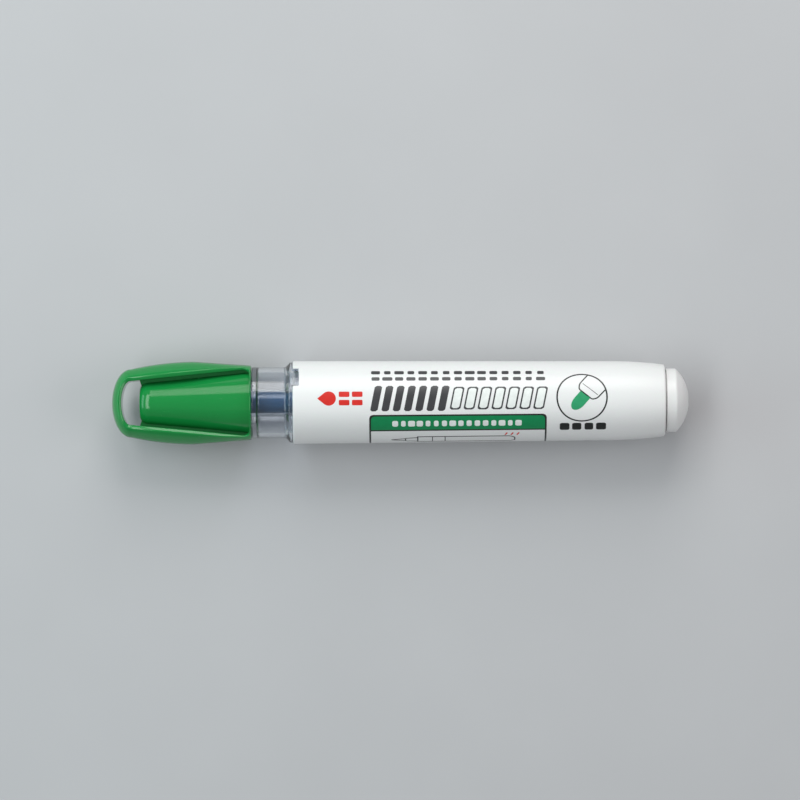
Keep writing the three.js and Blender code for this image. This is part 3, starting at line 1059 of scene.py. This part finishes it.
class MARKER_OT_barrel(bpy.types.Operator):
    """Make the white barrel with its key notch, tail neck and inner ribs"""

    bl_idname = "marker.barrel"
    bl_label = "Barrel"

    def execute(self, context):
        white = finish_named("barrel white")
        body = body_mm()
        front, long = front_of("barrel"), length_of("barrel")
        bend = long - SHOULDER_LENGTH
        shoulder = body - context.scene.marker_sizes.barrel_draft / MM
        rear = shoulder - SHOULDER_DROP
        barrel = turned(
            "barrel_white",
            [
                (0, BARREL_BORE, 0.1), (0, body, 0.3), (bend, shoulder, 0),
                *bow((bend, shoulder), (bend + 7.5, shoulder), (long, rear), 14)[:-1],
                (long, rear, 0.45), (long, NECK_BORE, 0.25), (long - NECK_LENGTH, NECK_BORE, 0.5),
                (long - NECK_LENGTH - 3, BARREL_BORE, 0.5),
            ],
            front,
            white,
            closed=True,
        )
        rib_length = long - NECK_LENGTH - 4 - RIB_FRONT
        ribs = ribs_about(6, front + RIB_FRONT * MM, rib_length, 0.8, 7.36, 1.4, white)
        notch = radial_block(
            "notch", front - MM, front + 1.45 * MM, KEY_WIDTH + 0.3, 7.0, 11.0, white
        )
        combine(barrel, [notch], "DIFFERENCE")
        combine(barrel, [ribs], "UNION")
        tidy_shell(barrel)
        settle(barrel, MARKER, ["barrel"])
        return {"FINISHED"}


class MARKER_OT_tail_plug(bpy.types.Operator):
    """Make the white tail plug with its hollow stem, blunt cone and gate mark"""

    bl_idname = "marker.tail_plug"
    bl_label = "Tail Plug"

    def execute(self, context):
        long = length_of("tail_plug")
        head, floor = long - TAIL_HEAD, long - TAIL_WALL
        plug = turned(
            "tail_plug_white",
            [
                (floor, 0, 0), (floor, 2.6, 0.3), (head + 1.2, STEM_BORE, 0.3), (0, STEM_BORE, 0.1),
                (0, STEM_RADIUS, 0.25), (1.4, STEM_RADIUS, 0), (1.7, 6.9, 0.1), (2.1, 6.9, 0.1),
                (2.4, STEM_RADIUS, 0), (head, STEM_RADIUS, 0.05), (head, TAIL_RADIUS, 0.15),
                (head + 2.35, TAIL_RADIUS, 0.35), (head + 3.9, 5.75, 1.0), (head + 4.75, 3.9, 0.9),
                (long, 2.1, 0.6), (long, 0.8, 0.1), (long - 0.2, 0.62, 0.1), (long - 0.25, 0, 0),
            ],
            front_of("tail_plug"),
            finish_named("barrel white"),
        )
        settle(plug, MARKER, ["tail_plug"])
        return {"FINISHED"}


# ---- Print on the barrel ----
#
# Print is drawn flat, in millimetres: along is the distance behind the barrel's front, and arc is
# the distance round the barrel from its top line, positive towards +Y.

INK_STEP = 0.45
INK_ROOT = -0.02
UNDER_LAYER, UPPER_LAYER, TOP_LAYER = 1, 1.6, 2.2
BAND_LEFT, BAND_RIGHT, BAND_TOP, BAND_FOOT = 18.05, 60.0, -3.4, -8.05
PANEL_FOOT = -45.0


def ellipse(middle, along, across, start=0, end=360, steps=48):
    """Points round part of an ellipse, with the angles in degrees."""
    points = []
    for step in range(steps + (end - start != 360)):
        turn = math.radians(start + (end - start) * step / steps)
        points.append((middle[0] + along * math.cos(turn), middle[1] + across * math.sin(turn)))
    return points


def slanted(points, origin, degrees=50):
    """Points of a symbol drawn from its own origin, turned and set on the barrel."""
    turn = Matrix.Rotation(math.radians(degrees), 2)
    return [Vector(origin) + turn @ Vector(point) for point in points]


def band_outline(inset):
    """The green band: rounded above, square below."""
    left, right = BAND_LEFT + inset, BAND_RIGHT - inset
    top, foot = BAND_TOP - inset, BAND_FOOT + inset
    corners = [(left, foot, 0), (left, top, 1.1), (right, top, 1.1), (right, foot, 0)]
    return rounded(corners, closed=True)


def fill(bm, outline):
    """One flat face inside an outline."""
    bm.faces.new([bm.verts.new((*point, 0.0)) for point in outline])


def stroke(bm, path, width, closed=False):
    """A flat line of even width along a path."""
    path = [Vector(point) for point in path]
    count = len(path)
    edges = []
    for i, point in enumerate(path):
        before = path[i - 1] if closed or i else point
        after = path[(i + 1) % count] if closed or i < count - 1 else point
        arrive, leave = (point - before), (after - point)
        arrive = arrive.normalized() if arrive.length else leave.normalized()
        leave = leave.normalized() if leave.length else arrive
        mean = (arrive + leave).normalized()
        normal = Vector((-mean.y, mean.x))
        reach = width / 2 / max(0.4, mean.dot(arrive))
        edges.append([bm.verts.new((*(point + normal * reach * side), 0.0)) for side in (-1, 1)])
    for i in range(count if closed else count - 1):
        (a, b), (c, d) = edges[i], edges[(i + 1) % count]
        bm.faces.new((a, c, d, b))


def wrap(made, material):
    """Bends flat print round the barrel and settles it there."""
    sizes = bpy.context.scene.marker_sizes
    run_tree(made, wrapping_tree, material, {
        "Front": front_of("barrel"),
        "Front Radius": sizes.body_radius,
        "Draft": sizes.barrel_draft / ((length_of("barrel") - SHOULDER_LENGTH) * MM),
    })
    tidy_shell(made)
    made.data.shade_flat()
    settle(made, MARKER)


def ink(name, bm, tone, layer=UNDER_LAYER):
    """Turns flat faces into a thin film of ink on the barrel, thicker for a higher layer."""
    bmesh.ops.triangulate(bm, faces=bm.faces)
    arcs = [vert.co.y for vert in bm.verts]
    for step in range(math.ceil(min(arcs) / INK_STEP), math.floor(max(arcs) / INK_STEP) + 1):
        everything = [*bm.verts, *bm.edges, *bm.faces]
        place = (0, step * INK_STEP, 0)
        bmesh.ops.bisect_plane(bm, geom=everything, plane_co=place, plane_no=(0, 1, 0))
    for face in bm.faces:
        face.normal_update()
        if face.normal.z > 0:
            face.normal_flip()
    lower = list(bm.verts)
    rim = [edge for edge in bm.edges if edge.is_boundary]
    copy = bmesh.ops.duplicate(bm, geom=[*bm.verts, *bm.edges, *bm.faces])
    twin = copy["vert_map"]
    for item in copy["geom"]:
        if isinstance(item, bmesh.types.BMFace):
            item.normal_flip()
    for vert in lower:
        vert.co.z = INK_ROOT
        twin[vert].co.z = layer * bpy.context.scene.marker_sizes.print_lift / MM
    for a, b in [edge.verts for edge in rim]:
        bm.faces.new((a, b, twin[b], twin[a]))
    bmesh.ops.scale(bm, vec=(MM, MM, MM), verts=bm.verts)
    bmesh.ops.translate(bm, vec=(front_of("barrel"), 0, 0), verts=bm.verts)
    material = finish_named(tone)
    wrap(new_object(name, bm, material), material)


def dashes(name, tone, count, start, end, low, high, corner, widths, slant=0, inset=0,
           layer=UNDER_LAYER, seed=1):
    """A printed row of dashes between two stations and two arcs."""
    material = finish_named(tone)
    made = new_object(name, bmesh.new(), material)
    pitch = (end - start) / count
    run_tree(made, dash_tree, material, {
        "Count": count,
        "Start": front_of("barrel") + start * MM,
        "Pitch": pitch * MM,
        "Middle": (low + high) / 2 * MM,
        "Height": (high - low) * MM,
        "Corner": corner * MM,
        "Slant": float(slant),
        "Least Width": pitch * widths[0] * MM,
        "Most Width": pitch * widths[1] * MM,
        "Inset": inset * MM,
        "Lift": layer * bpy.context.scene.marker_sizes.print_lift,
        "Seed": seed,
    })
    wrap(made, material)


class MARKER_OT_front_print(bpy.types.Operator):
    """Print the barrel's top side: a red drop mark, dash rows, a level gauge and a nib symbol"""

    bl_idname = "marker.front_print"
    bl_label = "Front Print"

    def execute(self, context):
        bm = bmesh.new()
        fill(bm, [(5.8, 0.65), *ellipse((8.5, 0.65), 1.7, 1.7, -128, 128, 28)])
        for left, right in ((10.9, 13.4), (14.0, 16.5)):
            for low, high in ((-1.0, 0.3), (1.0, 2.3)):
                mark = [(left, low, 0.3), (right, low, 0.3), (right, high, 0.3), (left, high, 0.3)]
                fill(bm, rounded(mark, 4, closed=True))
        ink("print_red_mark", bm, "red ink")

        for row, (low, high) in enumerate(((7.0, 8.1), (5.1, 6.1))):
            dashes(f"print_dashes_{row + 1}", "grey ink", 15, 18.2, 60, low, high, 0.3, (0.5, 0.86),
                   seed=4 + row)
        full = {"corner": 0.45, "widths": (0.66, 0.66), "slant": 0.2, "seed": 2}
        rest = {"corner": 0.5, "widths": (0.78, 0.78), "slant": 0.2, "seed": 2}
        dashes("print_gauge_full", "grey ink", 7, 18.4, 37.0, -2.5, 3.7, **full)
        dashes("print_gauge_rest", "grey ink", 7, 37.2, 60.2, -2.2, 3.4, **rest)
        dashes("print_gauge_gap", "white ink", 7, 37.2, 60.2, -2.2, 3.4, inset=0.36,
               layer=UPPER_LAYER, **rest)

        bm = bmesh.new()
        stroke(bm, ellipse((68.35, 0.7), 5.9, 6.15, steps=72), 0.36, closed=True)
        ink("print_ring", bm, "black ink")

        base = (69.2, 1.4)
        bm = bmesh.new()
        nib = [(0, 1.45), *ellipse((-2.3, 0), 2.5, 1.45, 90, 270, 28), (0, -1.45)]
        fill(bm, slanted(nib, base))
        ink("print_nib_symbol", bm, "bright green ink")
        bm = bmesh.new()
        collar = rounded([(4.2, 2.9, 0), (1.0, 2.75, 0.5), (0, 2.0, 0.4), (0, -2.0, 0.4),
                          (1.0, -2.75, 0.5), (3.9, -2.9, 0)])
        stroke(bm, slanted(collar, base), 0.3)
        stroke(bm, slanted([(1.7, 2.3), (1.7, -2.3)], base), 0.14)
        ink("print_collar_symbol", bm, "black ink")
        dashes("print_ring_caption", "black ink", 4, 62.8, 74.3, -8.2, -6.0, 0.45, (0.62, 0.88),
               seed=6)
        return {"FINISHED"}


class MARKER_OT_band_print(bpy.types.Operator):
    """Print the green band and the framed panel that runs down the barrel's side to its back"""

    bl_idname = "marker.band_print"
    bl_label = "Band and Panel"

    def execute(self, context):
        bm = bmesh.new()
        fill(bm, band_outline(0.0))
        ink("print_band_edge", bm, "black ink")
        bm = bmesh.new()
        fill(bm, band_outline(0.4))
        ink("print_band", bm, "green ink", UPPER_LAYER)
        dashes("print_band_dashes", "white ink", 16, 23.2, 54.3, -6.6, -5.0, 0.4, (0.55, 0.86),
               layer=TOP_LAYER, seed=9)

        bm = bmesh.new()
        left, right = BAND_LEFT + 0.2, BAND_RIGHT - 0.2
        panel = [(left, BAND_FOOT, 0), (left, PANEL_FOOT, 1.1), (right, PANEL_FOOT, 1.1),
                 (right, BAND_FOOT, 0)]
        stroke(bm, rounded(panel, 6), 0.4)
        ink("print_panel_frame", bm, "black ink")

        bm = bmesh.new()
        body = [(29.5, -13.4, 0), (51.5, -13.4, 0.6), (52.5, -12.8, 0.4), (52.5, -11.0, 0.4),
                (51.5, -10.4, 0.6), (29.5, -10.4, 0)]
        collar = [(29.5, -13.0, 0), (26.6, -12.7, 0.4), (26.6, -11.1, 0.4), (29.5, -10.8, 0)]
        nib = [(26.6, -12.5, 0), (24.6, -12.2, 0.3), (23.2, -11.9, 0.3), (24.6, -11.6, 0.3),
               (26.6, -11.3, 0)]
        stroke(bm, rounded(body, 4), 0.3, closed=True)
        stroke(bm, rounded(collar, 4), 0.28)
        stroke(bm, rounded(nib, 4), 0.28)
        for along in (33.0, 36.0):
            stroke(bm, [(along, -13.3), (along, -10.5)], 0.2)
        ink("print_drawing", bm, "black ink")
        bm = bmesh.new()
        for along in (50.2, 51.6, 53.0):
            stroke(bm, [(along, -9.9), (along + 0.5, -9.0)], 0.35)
        ink("print_drawing_ticks", bm, "red ink")

        for row, (top, count) in enumerate(((-17.5, 14), (-20.2, 12), (-22.9, 13), (-27.0, 9))):
            dashes(f"print_panel_dashes_{row + 1}", "grey ink", count, 21.5, 56.5 - 3 * row,
                   top - 1.0, top, 0.3, (0.55, 0.88), seed=20 + row)
        bm = bmesh.new()
        for along in (26.0, 38.5, 51.0):
            stroke(bm, ellipse((along, -35.5), 4.2, 4.2), 0.3, closed=True)
        stroke(bm, rounded([(23.6, -35.5, 0), (25.3, -37.4, 0.3), (28.6, -33.4, 0)], 3), 0.5)
        stroke(bm, [(36.2, -33.2), (40.8, -37.8)], 0.5)
        stroke(bm, [(51.0, -38.0), (51.0, -33.0)], 0.5)
        ink("print_panel_symbols", bm, "green ink")
        return {"FINISHED"}


# ---- Studio ----

FLOOR_HALF = 1.6
FLOOR_DROP = 0.0001
FILL_COLOUR = (0.93, 0.95, 1.0, 1.0)
FILL_STRENGTH = 0.24
SENSOR_WIDTH = 36.0


def aim(made, place, target, roll=0.0):
    """Puts a lamp or the camera at a place, looking at a target."""
    place, target = Vector(place), Vector(target)
    look = (target - place).to_track_quat("-Z", "Y")
    made.location = place
    made.rotation_mode = "QUATERNION"
    made.rotation_quaternion = look @ Quaternion((0, 0, 1), roll)


def softbox(name, place, width, height, power, tone, target=(0, 0, AXIS_HEIGHT)):
    """A soft rectangular lamp at a place, looking at a target."""
    light = bpy.data.lights.new(name, "AREA")
    light.shape = "RECTANGLE"
    light.size, light.size_y = width, height
    light.energy = power
    light.color = tone
    made = bpy.data.objects.new(name, light)
    bpy.context.scene.collection.objects.link(made)
    aim(made, place, target)


class MARKER_OT_studio(bpy.types.Operator):
    """Set up the pale floor, the soft lamps and the camera"""

    bl_idname = "marker.studio"
    bl_label = "Studio"

    def execute(self, context):
        look = context.scene.studio_look
        bm = bmesh.new()
        corners = [(x * FLOOR_HALF, y * FLOOR_HALF) for x, y in ((-1, -1), (1, -1), (1, 1), (-1, 1))]
        bm.faces.new([bm.verts.new((*corner, -FLOOR_DROP)) for corner in corners])
        floor = new_object("floor", bm, finish_named("pale floor"))

        softbox("softbox", (0.03, 0.479, 0.361), 0.375, 0.375, look.key_power, (1.0, 0.99, 0.97))
        softbox("strip lamp", (-0.42, 0.2, 0.8), 1.4, 0.24, 4.4, (0.96, 1.0, 1.0), (0, 0.2, 0))
        softbox("cap side lamp", (-0.66, 0.1, 0.3), 0.75, 0.3, 2.0, (0.7, 0.97, 1.0))
        softbox("tail side lamp", (0.62, -0.05, 0.48), 0.5, 0.4, 1.3, (1.0, 0.98, 0.98))

        world = bpy.data.worlds.new("studio")
        world.use_nodes = True
        graph = Graph(world.node_tree)
        graph.tree.nodes.clear()
        inputs = {"Color": FILL_COLOUR, "Strength": FILL_STRENGTH}
        fill_light = graph.out("ShaderNodeBackground", {}, inputs)
        graph.add("ShaderNodeOutputWorld", {}, {"Surface": fill_light})
        context.scene.world = world
        context.scene.view_settings.view_transform = "Standard"

        camera = bpy.data.cameras.new("camera")
        camera.sensor_width = SENSOR_WIDTH
        camera.lens = SENSOR_WIDTH * look.distance / look.field
        camera.clip_end = 10.0
        made = bpy.data.objects.new("camera", camera)
        context.scene.collection.objects.link(made)
        target = Vector((0, 0.45 * MM, AXIS_HEIGHT))
        lean = Vector((0, -math.sin(look.lean), math.cos(look.lean)))
        aim(made, target + lean * look.distance, target, look.roll)
        context.scene.camera = made
        return {"FINISHED"}


# ---- Panel and registration ----

STEPS = (
    MARKER_OT_cap_shell,
    MARKER_OT_cap_liner,
    MARKER_OT_nib,
    MARKER_OT_clear_holder,
    MARKER_OT_ink_feed,
    MARKER_OT_reservoir,
    MARKER_OT_barrel,
    MARKER_OT_tail_plug,
    MARKER_OT_front_print,
    MARKER_OT_band_print,
    MARKER_OT_studio,
)


class MARKER_PT_pieces(bpy.types.Panel):
    """Sizes, colours and pieces of the marker"""

    bl_idname = "MARKER_PT_pieces"
    bl_label = "Whiteboard Marker"
    bl_space_type = "VIEW_3D"
    bl_region_type = "UI"
    bl_category = "Marker"

    def draw(self, context):
        scene, layout = context.scene, self.layout
        for group in (scene.marker_sizes, scene.marker_colours, scene.studio_look):
            box = layout.box()
            for name in type(group).__annotations__:
                box.prop(group, name)
        for step in STEPS:
            layout.operator(step.bl_idname)


CLASSES = (MarkerSizes, MarkerColours, StudioLook, *STEPS, MARKER_PT_pieces)


def register():
    for cls in CLASSES:
        bpy.utils.register_class(cls)
    bpy.types.Scene.marker_sizes = PointerProperty(type=MarkerSizes)
    bpy.types.Scene.marker_colours = PointerProperty(type=MarkerColours)
    bpy.types.Scene.studio_look = PointerProperty(type=StudioLook)


def unregister():
    del bpy.types.Scene.studio_look
    del bpy.types.Scene.marker_colours
    del bpy.types.Scene.marker_sizes
    for cls in reversed(CLASSES):
        bpy.utils.unregister_class(cls)


def main():
    register()
    for step in STEPS:
        group, name = step.bl_idname.split(".")
        getattr(getattr(bpy.ops, group), name)()


if __name__ == "__main__":
    main()
